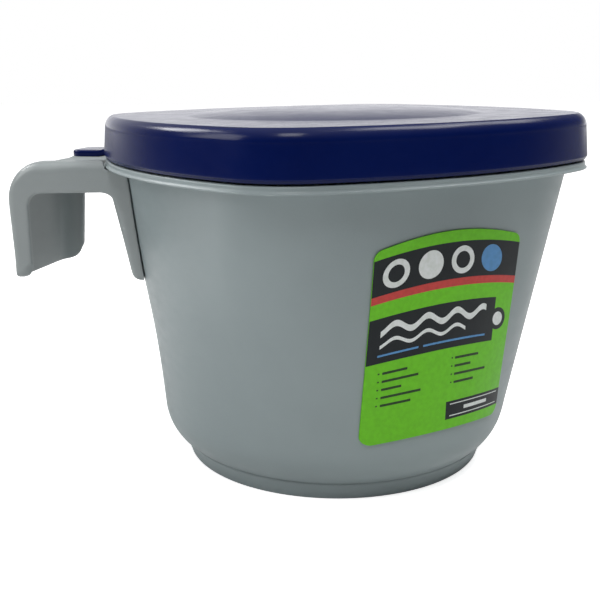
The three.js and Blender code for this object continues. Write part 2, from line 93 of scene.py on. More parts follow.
# Soft step from zero to one: three times the square less twice the cube
def ease(k):
    k = np.clip(k, 0, 1)
    return k * k * (3 - 2 * k)


# Angles round an outline, closer together at the corners by a sine of four periods
def ringAngles(count, crowding=0.35):
    even = np.linspace(0, 2 * math.pi, count, endpoint=False)
    return even - crowding / 4 * np.sin(4 * even)


# A row is one ring of a lofted skin: radius and height at every angle
def ring(outline, z, angle):
    r = reach(outline, angle)
    return np.stack([r, np.full_like(r, z)], 1)


# Rings along a rounded edge: an arc about a point inset from the outline
def roundEdge(outline, centreInset, centreZ, radius, fromDeg, toDeg, steps, angle):
    turns = np.radians(np.linspace(fromDeg, toDeg, steps + 1))
    return [ring(inset(outline, centreInset - radius * math.cos(t)),
                 centreZ + radius * math.sin(t), angle) for t in turns]


# Rings from one to the next in equal steps, both ends included
def between(first, last, steps):
    return [first + (last - first) * k for k in np.linspace(0, 1, steps + 1)]


# Object from points in millimetres
def meshFrom(name, points, faces, smooth=True):
    mesh = bpy.data.meshes.new(name)
    mesh.from_pydata((np.asarray(points, float) * mm).tolist(), [], faces)
    mesh.update()
    mesh.polygons.foreach_set("use_smooth", np.full(len(mesh.polygons), smooth))
    piece = bpy.data.objects.new(name, mesh)
    bpy.context.scene.collection.objects.link(piece)
    return piece


# Faces of a grid of rows by columns, closed round its columns if it wraps
def gridFaces(rows, columns, wrap):
    across = columns if wrap else columns - 1
    i, j = np.meshgrid(np.arange(rows - 1), np.arange(across), indexing="ij")
    i, j = i.ravel(), j.ravel()
    k = (j + 1) % columns
    low, high = i * columns, (i + 1) * columns
    return np.stack([low + j, low + k, high + k, high + j], 1)


# Closed skin through rings about the tub's axis: the radius times the cosine and the sine of the
# angle, at the ring's height, and a pole at each end
def loftedSkin(name, rings, angle):
    rows, columns = len(rings), len(angle)
    r, z = np.moveaxis(np.stack(rings), -1, 0)
    points = np.stack([axisX + r * np.cos(angle), r * np.sin(angle), z], -1).reshape(-1, 3)
    poles = np.array([[axisX, 0, rings[0][0, 1]], [axisX, 0, rings[-1][0, 1]]])
    quads = gridFaces(rows, columns, True).tolist()
    first, last = rows * columns, rows * columns + 1
    turn = np.arange(columns)
    after = (turn + 1) % columns
    quads += np.stack([np.full(columns, first), after, turn], 1).tolist()
    end = (rows - 1) * columns
    quads += np.stack([np.full(columns, last), end + turn, end + after], 1).tolist()
    return meshFrom(name, np.vstack([points, poles]), quads)


# Tub

tub = {
    "segments": 344,
    "rim": (rimCorner, 26.0, 6.18),
    "wallTop": (rimCorner - 5.9, 28.5, 0.72),
    "wallFoot": circle(56.4, 40.0),
    "lipZ": 93.0, "wallFootZ": 16.5, "wall": 1.4, "floor": 1.9,
    "footHeight": 5.7, "footRadius": 48.65, "creaseRadius": 50.45, "ringWidth": 2.3, "recess": 3.4,
    "footEdge": 0.4, "crease": 0.35, "filletLeg": 13.0,
    "flangeEdge": 2.25, "plate": 1.5, "lip": 1.6, "lipInner": 0.3, "lipEdge": 0.35,
    "flangeRound": 0.65, "flangeHollow": 0.26, "flangeLean": 0.55,
    "neckInset": 3.0, "neck": 1.6, "neckHeight": 11.6, "neckEdge": 0.4, "neckRoot": 0.5,
    "bead": 0.8, "beadDrop": 3.4, "beadHeight": 2.0,
    "pole": 2.0, "floorFlat": 36.0, "recessRound": 1.0, "soft": 0.15,
}
beadTurns = np.radians(np.linspace(-75, 75, 11))  # round a bead, from its lower to its upper foot


# Wall's outline at a height: straight from the foot's circle to the mouth's rounded square
def wallAt(z):
    k = (z - tub["wallFootZ"]) / (tub["lipZ"] - tub["wallFootZ"])
    return mix(tub["wallFoot"], tub["wallTop"], k)


# Outer base fillet: at every angle the arc from the foot's crease that is tangent to the wall
def baseFillet(share, angle):
    footZ = tub["wallFootZ"]
    slope = reach(wallAt(footZ + 1), angle) - reach(wallAt(footZ), angle)
    start = np.array([tub["creaseRadius"], tub["footHeight"]])
    end = np.array([tub["wallFoot"][0], footZ])
    inward = np.stack([-np.ones_like(slope), slope], 1)
    inward /= np.linalg.norm(inward, axis=1, keepdims=True)
    chord = start - end
    radius = chord @ chord / (2 * inward @ chord)
    centre = end + inward * radius[:, None]
    fromTurn = np.arctan2(start[1] - centre[:, 1], start[0] - centre[:, 0])
    toTurn = np.arctan2(end[1] - centre[:, 1], end[0] - centre[:, 0])
    turn = fromTurn + (toTurn - fromTurn) * share
    return centre + radius[:, None] * np.stack([np.cos(turn), np.sin(turn)], 1)


# Inner base fillet: a quadratic curve from the wall's inside to the floor, tangent to both
def innerFillet(share, angle):
    floorTop = tub["recess"] + tub["floor"]
    z = floorTop + tub["filletLeg"]
    wallR = reach(inset(wallAt(z), tub["wall"]), angle)
    slope = reach(wallAt(z + 1), angle) - reach(wallAt(z), angle)
    cornerR = wallR - slope * tub["filletLeg"]
    a, b, c = (1 - share) ** 2, 2 * share * (1 - share), share ** 2
    r = a * wallR + b * cornerR + c * (cornerR - tub["filletLeg"])
    return np.stack([r, np.full_like(r, a * z + (b + c) * floorTop)], 1)


# Tub: rings from the middle under its floor, out over foot and wall to the flange, up the neck, and
# back down inside to the middle of the floor
def makeTub():
    t = tub
    angle = ringAngles(t["segments"])
    rim, lipZ, edge, soft = t["rim"], t["lipZ"], t["footEdge"], t["soft"]
    flangeTop = lipZ + t["flangeEdge"]
    plateUnder = flangeTop - t["plate"]
    floorTop = t["recess"] + t["floor"]
    innerZ = floorTop + t["filletLeg"]

    ringInner = t["footRadius"] - t["ringWidth"]
    recessOutline = circle(ringInner - t["recessRound"])
    rings = between(ring(circle(t["pole"]), t["recess"], angle),
                    ring(recessOutline, t["recess"], angle), 12)
    rings += roundEdge(recessOutline, 0, t["recess"] - t["recessRound"], t["recessRound"],
                       90, 0, 4, angle)
    rings += roundEdge(circle(ringInner + edge), 0, edge, -edge, 0, 90, 4, angle)
    rings += roundEdge(circle(t["footRadius"] - edge), 0, edge, edge, -90, -12, 5, angle)
    foot = ring(circle(t["footRadius"] + 0.02), edge + 0.1, angle)
    crease = ring(circle(t["creaseRadius"] - 0.05), t["footHeight"] - t["crease"], angle)
    rings += between(foot, crease, 8)
    rings += [ring(circle(t["creaseRadius"] - t["crease"]),
                   t["footHeight"] - t["crease"] * 0.2, angle)]
    rings += [baseFillet(k, angle) for k in np.linspace(0.03, 0.98, 24)]
    rings += [ring(wallAt(z), z, angle) for z in np.linspace(t["wallFootZ"], plateUnder, 50)]

    rings += [ring(inset(wallAt(plateUnder), -soft), plateUnder, angle),
              ring(inset(rim, t["lip"] + soft), plateUnder, angle),
              ring(inset(rim, t["lip"]), plateUnder - soft, angle)]
    inner, outer, top = t["lipInner"], t["lipEdge"], t["flangeRound"]
    rings += roundEdge(rim, t["lip"] - inner, lipZ + inner, -inner, 0, 90, 3, angle)
    rings += roundEdge(rim, outer, lipZ + outer, outer, -90, 0, 5, angle)
    sideLow, sideHigh = lipZ + outer + 0.05, flangeTop - top - 0.05
    for k in np.linspace(0, 1, 9):
        leaned = t["flangeHollow"] * math.sin(k * math.pi) + t["flangeLean"] * k
        rings.append(ring(inset(rim, leaned), sideLow + (sideHigh - sideLow) * k, angle))
    face = inset(rim, t["flangeLean"])
    rings += roundEdge(face, top, flangeTop - top, top, 10, 90, 8, angle)

    neckTop, neckEdge, root = flangeTop + t["neckHeight"], t["neckEdge"], t["neckRoot"]
    neckOuter = inset(rim, t["neckInset"])
    neckInner = inset(neckOuter, t["neck"])
    beadZ, beadHalf = neckTop - t["beadDrop"], t["beadHeight"] / 2
    rings += between(ring(inset(face, top + 0.1), flangeTop, angle),
                     ring(inset(neckOuter, -0.2), flangeTop, angle), 2)
    rings += between(ring(neckOuter, flangeTop + 0.2, angle),
                     ring(neckOuter, beadZ - beadHalf, angle), 8)
    rings += [ring(inset(neckOuter, -t["bead"] * math.cos(s) ** 2),
                   beadZ + beadHalf * math.sin(s), angle) for s in beadTurns]
    rings += between(ring(neckOuter, beadZ + beadHalf, angle),
                     ring(neckOuter, neckTop - neckEdge, angle), 3)
    rings += roundEdge(neckOuter, neckEdge, neckTop - neckEdge, neckEdge, 15, 90, 5, angle)
    rings += roundEdge(neckInner, -neckEdge, neckTop - neckEdge, -neckEdge, -90, 0, 5, angle)
    rings += between(ring(neckInner, neckTop - neckEdge - 0.2, angle),
                     ring(neckInner, flangeTop + root, angle), 10)
    rings += roundEdge(neckInner, root, flangeTop + root, root, -15, -90, 4, angle)

    insideTop = inset(wallAt(flangeTop), t["wall"])
    rings += [ring(inset(insideTop, -0.5), flangeTop, angle),
              ring(inset(insideTop, -soft), flangeTop - soft, angle)]
    rings += [ring(inset(wallAt(z), t["wall"]), z, angle)
              for z in np.linspace(flangeTop - 0.5, innerZ, 45)]
    rings += [innerFillet(k, angle) for k in np.linspace(0.03, 1, 24)]
    rings += between(ring(circle(t["floorFlat"]), floorTop, angle),
                     ring(circle(t["pole"]), floorTop, angle), 10)
    return loftedSkin("tub_shell", rings, angle)


# Lid

lid = {
    "segments": 384,
    "outline": (rimCorner - 0.1, 25.3, 6.18),
    "skirtZ": 96.1, "skirtHeight": 13.0, "draft": 0.8, "skirt": 1.3, "edge": 0.3,
    "lip": 0.65, "lipStep": 0.4, "lipDrop": 0.3, "lipEdge": 0.2,
    "shoulder": 3.9, "sweep": 68, "crownRise": 0.1, "plate": 1.4, "bend": 0.15,
    "bossRise": 1.8, "bossFoot": 46.0, "bossFlat": 0.12, "bossPower": 2.7,
    "plug": 1.2, "plugDepth": 5.5, "clearance": 0.3, "catch": 1.2, "soft": 0.3, "pole": 2.0,
}
catchTurns = np.radians(np.linspace(-75, 75, 9))  # round the catch, likewise
tab = {
    "halfWidth": 7.5, "reach": 11.8, "thickness": 2.4, "underZ": 95.15, "corner": 4.0,
    "root": 1.2, "rootLength": 5.0, "rootInside": 1.0, "round": 1.2, "squareness": 7.0,
}


# Raised round: flat in its middle, then falling by a power of the way to its foot, where the rings
# are closer together
def bossRings(trim, z, angle):
    k = np.concatenate([np.linspace(0, 0.8, 9)[:-1], np.linspace(0.8, 1, 14)])
    radii = lid["bossFoot"] * (lid["bossFlat"] + (1 - lid["bossFlat"]) * k) - trim
    heights = z + lid["bossRise"] * (1 - k ** lid["bossPower"])
    return [ring(circle(r), h, angle) for r, h in zip(radii, heights)]


# Flat middle of the raised round, from its pole outwards
def bossMiddle(z, angle):
    flatR = lid["bossFoot"] * lid["bossFlat"]
    return between(ring(circle(lid["pole"]), z, angle),
                   ring(circle(flatR - lid["pole"]), z, angle), 5)


# Lid: rings from the middle of its underside, round the plug ring and the catch to the skirt's
# lower edge, and up outside over the shoulder to the middle of its top
def makeLid():
    l = lid
    angle = ringAngles(l["segments"])
    skirt, skirtZ, edge, soft = l["outline"], l["skirtZ"], l["edge"], l["soft"]
    creaseZ = skirtZ + l["skirtHeight"]
    topZ = creaseZ + l["crownRise"]
    under = creaseZ - l["plate"]
    sweep = math.radians(l["sweep"])
    shoulderZ = creaseZ - l["shoulder"] * math.sin(sweep)
    shoulder = inset(skirt, l["draft"] + l["shoulder"])

    plugOuter = inset(tub["rim"], tub["neckInset"] + tub["neck"] + l["clearance"])
    plugInner = inset(plugOuter, l["plug"])
    plugZ = under - l["plugDepth"]
    rings = bossMiddle(under + l["bossRise"], angle)
    rings += bossRings(l["plate"] / 2, under, angle)
    rings += [ring(inset(plugInner, soft), under, angle), ring(plugInner, under - soft, angle)]
    rings += between(ring(plugInner, under - soft - 0.2, angle),
                     ring(plugInner, plugZ + soft, angle), 4)
    rings += roundEdge(plugInner, -soft, plugZ + soft, -soft, 0, 90, 3, angle)
    rings += [ring(inset(plugOuter, l["plug"] / 3), plugZ, angle)]
    rings += between(ring(plugOuter, plugZ + l["plug"], angle),
                     ring(plugOuter, under - soft, angle), 4)
    rings += roundEdge(plugOuter, -soft, under - soft, -soft, 0, -90, 3, angle)

    shoulderIn = l["shoulder"] - l["skirt"]
    hollowTurn = math.degrees(math.asin(min((under - shoulderZ) / shoulderIn, 1)))
    inner = inset(skirt, l["skirt"] + 0.1)
    catchInset = tub["neckInset"] - tub["bead"] - l["clearance"]
    catchDepth = inner[0] - inset(tub["rim"], catchInset)[0]
    neckTop = tub["lipZ"] + tub["flangeEdge"] + tub["neckHeight"]
    catchZ = neckTop - tub["beadDrop"] - tub["beadHeight"]
    catchFoot = l["catch"] + 0.4
    rings += roundEdge(shoulder, 0, shoulderZ, shoulderIn, hollowTurn, 0, 6, angle)
    rings += between(ring(inner, shoulderZ - 0.4, angle),
                     ring(inner, catchZ + catchFoot, angle), 2)
    rings += [ring(inset(inner, catchDepth * math.cos(s) ** 2),
                   catchZ - l["catch"] * math.sin(s), angle) for s in catchTurns]

    lowZ, lipEdge = skirtZ - l["lipDrop"], l["lipEdge"]
    stepped, stepZ = inset(skirt, l["lipStep"]), lowZ + l["lip"]
    rings += between(ring(inner, catchZ - catchFoot, angle), ring(inner, lowZ + soft, angle), 3)
    rings += roundEdge(inner, -soft, lowZ + soft, -soft, 0, 90, 3, angle)
    rings += roundEdge(stepped, lipEdge, lowZ + lipEdge, lipEdge, -90, 0, 3, angle)
    rings += [ring(stepped, stepZ - 0.06, angle), ring(inset(stepped, -0.05), stepZ, angle)]
    rings += roundEdge(skirt, edge, stepZ + edge, edge, -90, 0, 6, angle)
    low = ring(inset(skirt, 0.01), stepZ + edge + 0.2, angle)
    high = ring(inset(skirt, l["draft"] - 0.01), shoulderZ - 0.2, angle)
    rings += between(low, high, 14)

    rings += roundEdge(shoulder, 0, shoulderZ, l["shoulder"], 0, l["sweep"], 20, angle)
    crease = ring(inset(shoulder, -l["shoulder"] * math.cos(sweep)), creaseZ, angle)
    bossFoot = ring(circle(l["bossFoot"]), topZ, angle)
    bend = (bossFoot - crease) * l["bend"] / np.linalg.norm((bossFoot - crease).mean(0))
    rings += between(crease + bend, bossFoot - bend, 14)
    rings += bossRings(0, topZ, angle)[::-1]
    rings += bossMiddle(topZ + l["bossRise"], angle)[::-1]
    return loftedSkin("lid_shell", rings, angle)


# Slab carried along a path in X and Z: at each point of the path a section stands square to it,
# with its own half width and thickness. The section is a superellipse of the given power.
def sweptSlab(name, path, halfWidths, thicknesses, power, columns=64):
    path = np.asarray(path, float)
    tangent = np.gradient(path, axis=0)
    tangent /= np.linalg.norm(tangent, axis=1, keepdims=True)
    normal = np.stack([-tangent[:, 1], tangent[:, 0]], 1)
    turn = np.linspace(0, 2 * math.pi, columns, endpoint=False)
    across = np.sign(np.cos(turn)) * np.abs(np.cos(turn)) ** (2 / power)
    up = np.sign(np.sin(turn)) * np.abs(np.sin(turn)) ** (2 / power)
    y = halfWidths[:, None] * across
    lift = thicknesses[:, None] / 2 * up
    x = path[:, :1] + normal[:, :1] * lift
    z = path[:, 1:] + normal[:, 1:] * lift
    points = np.stack([x, y, z], -1).reshape(-1, 3)
    faces = gridFaces(len(path), columns, True)[:, ::-1].tolist()
    faces += [list(range(columns)), [(len(path) - 1) * columns + k for k in range(columns)][::-1]]
    return meshFrom(name, points, faces)


# Thumb tab: a slab from inside the skirt out to its tip, its path closer together there. It rises
# at its root by the square of the way back to it, and tip and corners are quarter circles.
def makeTab():
    t = tab
    tipX = axisX - tub["rim"][0] - t["reach"]
    rootX = axisX - lid["outline"][0] + lid["skirt"] + t["rootInside"]
    s = np.linspace(0, 1, 70)
    x = rootX - (rootX - tipX) * np.sin(s * math.pi / 2)
    toRoot = np.clip(1 - (rootX - x) / t["rootLength"], 0, 1)
    z = t["underZ"] + t["thickness"] / 2 + t["root"] * toRoot ** 2
    corner = t["corner"]
    fromTip = np.clip((x - tipX) / corner, 0, 1)
    half = t["halfWidth"] - corner + corner * np.sqrt(1 - (1 - fromTip) ** 2)
    tipRound = np.clip((x - tipX) / t["round"], 0, 1)
    thick = t["thickness"] * np.sqrt(np.maximum(1 - (1 - tipRound) ** 2, 0.002))
    path = np.stack([x, z], 1)
    return sweptSlab("lid_tab", path[::-1], half[::-1], thick[::-1], t["squareness"])


# Handle

handle = {
    "cell": 0.37, "margin": 1.5, "far": 60.0, "insideX": -58.0,
    "halfWidth": 20.4, "taper": 0.06, "taperZ": 60.0, "flange": 2.0, "web": 1.8, "gap": 0.4,
    "endZ": 55.1, "depth": 7.2, "depthRise": 0.9, "tip": 1.5, "tipFlare": 5.6, "corner": 1.0,
    "faceCrown": 0.3, "elbow": 13.0, "elbowInner": 5.0,
    "armTopZ": 94.65, "armRise": 0.018, "armDepth": 10.15, "underRise": 0.033,
    "dishZ": 92.7, "dishHalf": 12.5, "dishFlank": 3.0, "dishRunOut": 30.0, "dishSweep": 0.5,
    "crook": 5.0, "crookStart": 2.6, "crookFall": 1.1, "crookLean": 0.2,
    "leg": 3.9, "legTaper": 0.05, "legTaperZ": 68.0, "legEndZ": 56.2, "wallLean": 0.985,
    "pocket": 8.0, "join": 1.2,
    # radii that soften its edges
    "faceRound": 3.6, "tipRound": 3.0, "elbowRound": 4.4, "topRound": 3.6, "lipRound": 0.75,
    "legRound": 2.5, "legSide": 1.7, "legTopRound": 0.5, "seatRound": 0.4, "innerRound": 0.6,
    "endRound": 0.8, "dishRound": 1.5, "dishEdge": 0.6, "clearRound": 0.35,
}


# Points along an arc in X and Z about its centre
def arcPoints(x, z, radius, fromDeg, toDeg, steps=16):
    turn = np.radians(np.linspace(fromDeg, toDeg, steps + 1))
    return np.stack([x + radius * np.cos(turn), z + radius * np.sin(turn)], 1)


# Signed distance from each point to a closed flat outline: the least distance to its sides, below
# zero where a level ray crosses them an odd number of times
def flatDistance(x, z, outline):
    a = np.asarray(outline, float)
    b = np.roll(a, -1, axis=0)
    tiny = 1e-12  # keeps the divisions away from zero
    dx, dz = x[..., None] - a[:, 0], z[..., None] - a[:, 1]
    ex, ez = (b - a).T
    share = np.clip((dx * ex + dz * ez) / np.maximum(ex * ex + ez * ez, tiny), 0, 1)
    away = np.hypot(dx - share * ex, dz - share * ez).min(-1)
    spans = (a[:, 1] > z[..., None]) != (b[:, 1] > z[..., None])
    cross = dx < dz * ex / np.where(ez == 0, tiny, ez)
    return np.where((spans & cross).sum(-1) % 2 == 1, -away, away)


# What two distances have in common, its edge rounded by an arc of the radius: the length of the two
# distances past the arc's centre
def common(a, b, radius):
    sharp = np.minimum(np.maximum(a, b), -radius)
    return sharp + np.hypot(np.maximum(a + radius, 0), np.maximum(b + radius, 0))


# Both together, with a fillet of the radius between them
def joined(a, b, radius):
    return -common(-a, -b, radius)


# Surface where a distance grid is zero: one point in each cell that it crosses, at the mean of the
# crossings on the cell's edges, and a face round every crossed edge of the grid
def zeroSurface(name, field, corner, cell):
    cells = tuple(n - 1 for n in field.shape)
    total = np.zeros(cells + (3,))
    count = np.zeros(cells)
    part = lambda i, j, k: field[i:i + cells[0], j:j + cells[1], k:k + cells[2]]
    for axis in range(3):
        for p in (0, 1):
            for q in (0, 1):
                first = [p, q]
                first.insert(axis, 0)
                second = list(first)
                second[axis] = 1
                fa, fb = part(*first), part(*second)
                hit = (fa < 0) != (fb < 0)
                share = np.where(hit, fa / np.where(hit, fa - fb, 1), 0)
                total += hit[..., None] * np.array(first, float)
                total[..., axis] += share
                count += hit
    used = count > 0
    number = np.full(cells, -1)
    number[used] = np.arange(used.sum())
    place = np.stack(np.nonzero(used), 1) + total[used] / count[used][:, None]
    faces = []
    for axis in range(3):
        u, v = (axis + 1) % 3, (axis + 2) % 3
        inside = np.moveaxis(field < 0, (axis, u, v), (0, 1, 2))
        index = np.moveaxis(number, (axis, u, v), (0, 1, 2))
        low, high = inside[:-1, 1:-1, 1:-1], inside[1:, 1:-1, 1:-1]
        square = np.stack([index[:, :-1, :-1], index[:, 1:, :-1],
                           index[:, 1:, 1:], index[:, :-1, 1:]], -1)
        faces.append(square[low & ~high])
        faces.append(square[high & ~low][:, ::-1])
    # two steps along the field's slope bring the points onto the surface
    flattest, longest = 0.05, 0.4  # least slope squared, and the longest step in cells
    slope = np.stack(np.gradient(field), -1)
    for _ in range(2):
        base = np.minimum(place.astype(int), np.array(cells) - 1)
        f = place - base
        value, steep = 0, 0
        for i in (0, 1):
            for j in (0, 1):
                for k in (0, 1):
                    at = (base[:, 0] + i, base[:, 1] + j, base[:, 2] + k)
                    weight = np.abs(1 - np.array([i, j, k]) - f).prod(1)
                    value = value + weight * field[at]
                    steep = steep + weight[:, None] * slope[at]
        step = value[:, None] * steep / np.maximum((steep ** 2).sum(1, keepdims=True), flattest)
        place = place - np.clip(step, -longest, longest)
    return meshFrom(name, np.asarray(corner) + place * cell, np.vstack(faces).tolist())


# Handle: an outer side and a lip side seen along Y are brought together and joined to the leg, then
# cut to the width with soft edges, hollowed by the pocket and cleared of the dish and the tub
def makeHandle():
    h = handle
    faceX = -gripFaceX - h["faceCrown"]
    innerX, widest = faceX + h["depth"], h["halfWidth"] + 4
    elbowX = faceX + h["elbow"]
    underX, underZ = innerX + h["depthRise"] + h["elbowInner"], h["armTopZ"] - h["armDepth"]
    axes = [np.arange(low, high, h["cell"]) for low, high in (
        (faceX - h["margin"], h["insideX"]), (-widest, widest),
        (h["endZ"] - h["margin"], h["armTopZ"] + 4))]
    flatX, flatZ = np.meshgrid(axes[0], axes[2], indexing="ij")

    tip, flare, end, far = h["tip"], h["tipFlare"], h["endZ"], h["far"]
    outer = np.vstack([
        [[0, h["armTopZ"] - elbowX * h["armRise"]]],
        arcPoints(elbowX, h["armTopZ"] - h["elbow"], h["elbow"], 90, 180, 30),
        arcPoints(faceX + tip, end + tip, tip, 180, 270, 10),
        [[0, end]]])
    crookX = -(wallAt(underZ)[0] - h["crookStart"])
    crookZ = underZ + (crookX - h["crook"] - underX) * h["underRise"]
    crookEnd = [crookX + h["crookLean"] * h["crook"], crookZ - h["crookFall"] * h["crook"]]
    k = np.linspace(0, 1, 13)[:, None]
    crook = ((1 - k) ** 2 * [crookX - h["crook"], crookZ] + 2 * k * (1 - k) * [crookX, crookZ]
             + k ** 2 * crookEnd)
    lips = np.vstack([
        [[-2 * far, end]],
        arcPoints(innerX - flare, end + flare, flare, 270, 360, 14),
        arcPoints(underX, underZ - h["elbowInner"], h["elbowInner"], 180, 90, 14),
        crook, [[0, crook[-1, 1]], [0, 2 * far], [-2 * far, 2 * far]]])
    web = h["web"]
    webX, webZ, hollow = faceX + web, h["dishZ"] - web, h["elbow"] - 2 * web
    pocket = np.vstack([
        [[10, end - 10], [10, webZ]],
        arcPoints(webX + hollow, webZ - hollow, hollow, 90, 180, 24),
        [[webX, end - 10]]])
    runOut, dishZ, above = h["dishRunOut"], h["dishZ"], h["dishZ"] + h["dishRunOut"]
    dish = np.vstack([
        [[0, dishZ], [0, above], [elbowX - runOut, above]],
        arcPoints(elbowX, above, runOut, 270 - math.degrees(h["dishSweep"]), 270, 12)])
    outerD, lipD, pocketD, dishD = [flatDistance(flatX, flatZ, flat)[:, None, :]
                                    for flat in (outer, lips, pocket, dish)]

    x, y, z = np.meshgrid(*axes, indexing="ij")
    angle = np.arctan2(y, x)
    gap = h["gap"]
    fromWall = (np.hypot(x, y) - reach(wallAt(z), angle)) * h["wallLean"]
    fromRim = np.hypot(x, y) - reach(tub["rim"], angle)
    legFace = fromWall - gap - h["leg"] - h["legTaper"] * (z - h["legTaperZ"])
    leg = common(common(legFace, h["legEndZ"] - z, h["legRound"]), gap - fromWall - 1,
                 h["seatRound"])
    leg = common(leg, z - tub["lipZ"], h["legTopRound"])
    body = joined(common(outerD, lipD, h["innerRound"]), leg, h["join"])

    # the rounding of the long edges changes from place to place, each time over the millimetres
    # that its ease is divided by
    width = h["halfWidth"] + h["taper"] * (np.minimum(z, underZ + 2) - h["taperZ"])
    side = np.abs(y) - width
    onGrip = x < (faceX + crookX) / 2
    ends = common(side, np.where(onGrip, end, h["legEndZ"]) - 0.3 - z,
                  np.where(onGrip, h["corner"], h["legRound"]))
    onFace = h["elbowRound"] + (h["faceRound"] - h["elbowRound"]) * ease((underZ + 4 - z) / 10)
    onFace = onFace + (h["tipRound"] - onFace) * ease((end + 9 - z) / 8)
    soft = h["topRound"] + (onFace - h["topRound"]) * ease((faceX + 24 - x) / 10)
    soft = soft + (h["lipRound"] - soft) * ease((-outerD - h["faceRound"]) / 2.5)
    soft = soft + (h["legSide"] - soft) * ease((underZ + 1 - z) / 6) * (1 - onGrip)
    body = common(common(body, side, soft), ends, h["endRound"])

    inner = common(pocketD, side + h["flange"], h["pocket"])
    inner = common(inner, -leg, h["join"])
    body = common(body, -inner, h["lipRound"])
    flank = (np.abs(y) - h["dishHalf"] - h["dishFlank"] / 2) * 0.8
    body = common(body, -common(dishD, flank, h["dishRound"]), h["dishEdge"])
    underRim = np.maximum(fromRim - gap, tub["lipZ"] - gap - z)
    body = common(body, -np.minimum(fromWall - gap, underRim), h["clearRound"])
    corner = (axisX + axes[0][0], axes[1][0], axes[2][0])
    return zeroSurface("handle_shell", body, corner, h["cell"])


# Label

label = {
    "topZ": 80.0, "height": 61.0, "halfWidth": 25.5, "shift": 0.25, "corner": 3.2,
    "archTop": 3.0, "archFoot": 1.5, "fall": 0.956,
    "gap": 0.2, "thickness": 0.3, "step": 0.9,
    "green": (0.160, 0.590, 0.014), "dark": (0.009, 0.013, 0.016), "red": (0.60, 0.060, 0.055),
    "white": (0.80, 0.83, 0.83), "blue": (0.105, 0.30, 0.60), "ink": (0.020, 0.050, 0.014),
    # each field: colour, left and right in shares of the half width, top and bottom of the height
    "fields": [
        ("dark", -1.0, 1.0, 0.055, 0.270), ("red", -1.0, 1.0, 0.232, 0.270),
        ("dark", -1.0, 0.70, 0.345, 0.575),
        ("blue", -0.88, -0.40, 0.532, 0.542), ("blue", -0.34, 0.56, 0.532, 0.542),
        ("dark", 0.02, 1.0, 0.855, 0.950), ("white", 0.08, 0.94, 0.869, 0.874),
        ("white", 0.08, 0.94, 0.931, 0.936), ("white", 0.30, 0.72, 0.893, 0.912),
    ],
    # round marks in millimetres on the sheet: colour, place across and down, radius
    "discs": [("white", -18.5, 8.8, 4.1), ("dark", -18.5, 8.8, 2.5), ("white", -7.5, 8.8, 4.1),
              ("white", 3.5, 8.8, 4.1), ("dark", 3.5, 8.8, 2.5), ("blue", 14.5, 8.8, 4.1),
              ("green", 19.5, 28.0, 3.6), ("dark", 19.5, 28.0, 3.6), ("white", 19.5, 28.0, 2.2)],
    # waves likewise: colour, place across, half length, place down, swing, half width of the line
    "waves": [("white", -4.0, 18.0, 25.0, 1.3, 0.95), ("white", -8.0, 14.0, 29.2, 1.0, 0.55)],
    "waveTurn": 0.62,  # radians for each millimetre across
    # short strokes in two columns: start and lengths, in shares of the half width
    "strokes": [(-0.86, (0.34, 0.48, 0.28, 0.52, 0.40)), (0.06, (0.42, 0.30, 0.56, 0.36))],
    "strokeTop": 0.625, "strokeStep": 0.042, "strokeHeight": 0.013, "strokeIndent": 0.05,
    "dotWidth": 0.02, "dotHeight": 0.008,
}


# Angle, height and distance out of the wall for a place on the sheet. The angle at which the wall
# lies that far sideways of the side's middle is found by repeated substitution.
def labelPoint(sideways, z, out):
    outline = inset(wallAt(z), -out)
    middle = -math.pi / 4
    angle = np.full_like(sideways, middle)
    for _ in range(12):
        angle = middle + np.arcsin(sideways / reach(outline, angle))
    r = reach(outline, angle)
    return np.stack([axisX + r * np.cos(angle), r * np.sin(angle), z], -1)


# All printed fields, with each short stroke and the dot before it
def printedFields():
    fields = list(label["fields"])
    for start, lengths in label["strokes"]:
        for i, length in enumerate(lengths):
            row = label["strokeTop"] + label["strokeStep"] * i
            dot = row + 0.001
            fields.append(("ink", start, start + label["dotWidth"], dot, dot + label["dotHeight"]))
            fields.append(("ink", start + label["strokeIndent"], start + length,
                           row, row + label["strokeHeight"]))
    return fields


# Lines from low to high that fall on the edges of the printed fields and are no further apart than
# the label's step
def sheetLines(low, high, edges, size):
    places = sorted({low, high, *(round(edge, 4) for edge in edges)})
    steps = [np.linspace(a, b, 1 + math.ceil((b - a) * size / label["step"]))[:-1]
             for a, b in zip(places, places[1:])]
    return np.append(np.concatenate(steps), high)


